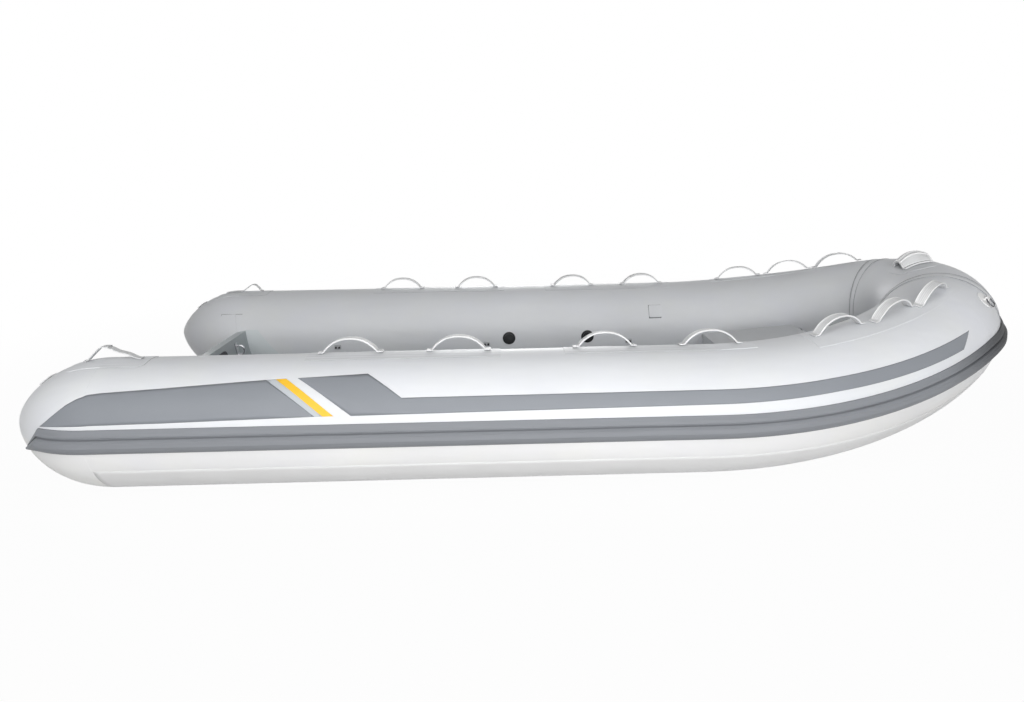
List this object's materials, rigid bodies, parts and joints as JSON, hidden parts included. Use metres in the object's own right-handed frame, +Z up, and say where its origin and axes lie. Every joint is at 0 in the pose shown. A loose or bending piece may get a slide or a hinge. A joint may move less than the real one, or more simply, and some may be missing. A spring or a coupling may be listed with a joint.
{
  "type": "inflatable boat with rigid hull",
  "caption": "Open rigid-hulled inflatable boat: U-shaped air tubes with aft cones, rubbing strake and grab handles round a deck with a bow locker and a transom for an outboard motor.",
  "frame": {"origin": "amidships on the centreline at the waterline", "axes": "+X forward, +Y port, +Z up"},
  "size_m": [3.9099, 1.8816, 0.9322],
  "materials": {
    "tube_fabric": "coated fabric, satin",
    "patch_fabric": "coated fabric, satin",
    "handle_webbing": "moulded strap, matt",
    "strake_rubber": "matt",
    "black_plastic": "matt",
    "steel": "polished stainless",
    "hull_gelcoat": "gelcoat, gloss",
    "deck_gelcoat": "gelcoat with a fine grip pattern",
    "transom_gelcoat": "gelcoat, gloss",
    "pad_plastic": "matt"
  },
  "bodies": {
    "boat": {"side_tube_port": "tube_fabric", "side_tube_starboard": "tube_fabric", "bow_tube": "tube_fabric", "aft_cone_port": "tube_fabric", "aft_cone_starboard": "tube_fabric", "rub_strake": "strake_rubber", "strake_cap_port": "strake_rubber", "strake_cap_starboard": "strake_rubber", "handle_1_port": "handle_webbing", "handle_2_port": "handle_webbing", "handle_3_port": "handle_webbing", "handle_4_port": "handle_webbing", "handle_5_port": "handle_webbing", "handle_6_port": "handle_webbing", "handle_7_port": "handle_webbing", "handle_1_starboard": "handle_webbing", "handle_2_starboard": "handle_webbing", "handle_3_starboard": "handle_webbing", "handle_4_starboard": "handle_webbing", "handle_5_starboard": "handle_webbing", "handle_6_starboard": "handle_webbing", "handle_7_starboard": "handle_webbing", "stern_handle_port": "handle_webbing", "stern_handle_starboard": "handle_webbing", "handle_patches_port": "patch_fabric", "handle_patches_starboard": "patch_fabric", "bow_handle_pad": "patch_fabric", "bow_lifting_handle": "handle_webbing", "valves_port": "black_plastic", "valves_starboard": "black_plastic", "rope_clips_port": "black_plastic", "rope_clips_starboard": "black_plastic", "fitting_pad_port": "patch_fabric", "fitting_pad_starboard": "patch_fabric", "bow_ring_lug_port": "patch_fabric", "bow_ring_lug_starboard": "patch_fabric", "cone_tab_port": "handle_webbing", "cone_tab_starboard": "handle_webbing", "hull": "hull_gelcoat", "deck": "deck_gelcoat", "transom": "transom_gelcoat", "keel_guard": "strake_rubber", "transom_patch_port": "patch_fabric", "transom_patch_starboard": "patch_fabric", "transom_gusset_port": "patch_fabric", "transom_gusset_starboard": "patch_fabric", "motor_pad_outer": "pad_plastic", "motor_pad_inner": "pad_plastic", "lifting_eyes": "steel", "drain_plug": "black_plastic", "bow_eye": "steel", "bow_locker": "deck_gelcoat", "hinge_fixed": "steel", "lid_catch": "steel"},
    "locker_lid": {"locker_lid": "deck_gelcoat", "hinge_moving": "steel", "lid_latch": "steel"},
    "bow_ring_port": {"bow_ring_port": "steel"},
    "bow_ring_starboard": {"bow_ring_starboard": "steel"}
  },
  "joints": [
    {"name": "locker_lid", "type": "hinge", "parent": "boat", "child": "locker_lid", "pos_m": [1.24006, 0, 0.3147], "axis": [0, 1, 0], "range_deg": [0, 70]},
    {"name": "bow_ring_port", "type": "hinge", "parent": "boat", "child": "bow_ring_port", "pos_m": [1.72807, 0.40204, 0.57413], "axis": [0.6159, -0.7633, 0.1949], "range_deg": [0, 160]},
    {"name": "bow_ring_starboard", "type": "hinge", "parent": "boat", "child": "bow_ring_starboard", "pos_m": [1.72807, -0.40204, 0.57413], "axis": [-0.6159, -0.7633, -0.1949], "range_deg": [0, 160]}
  ]
}
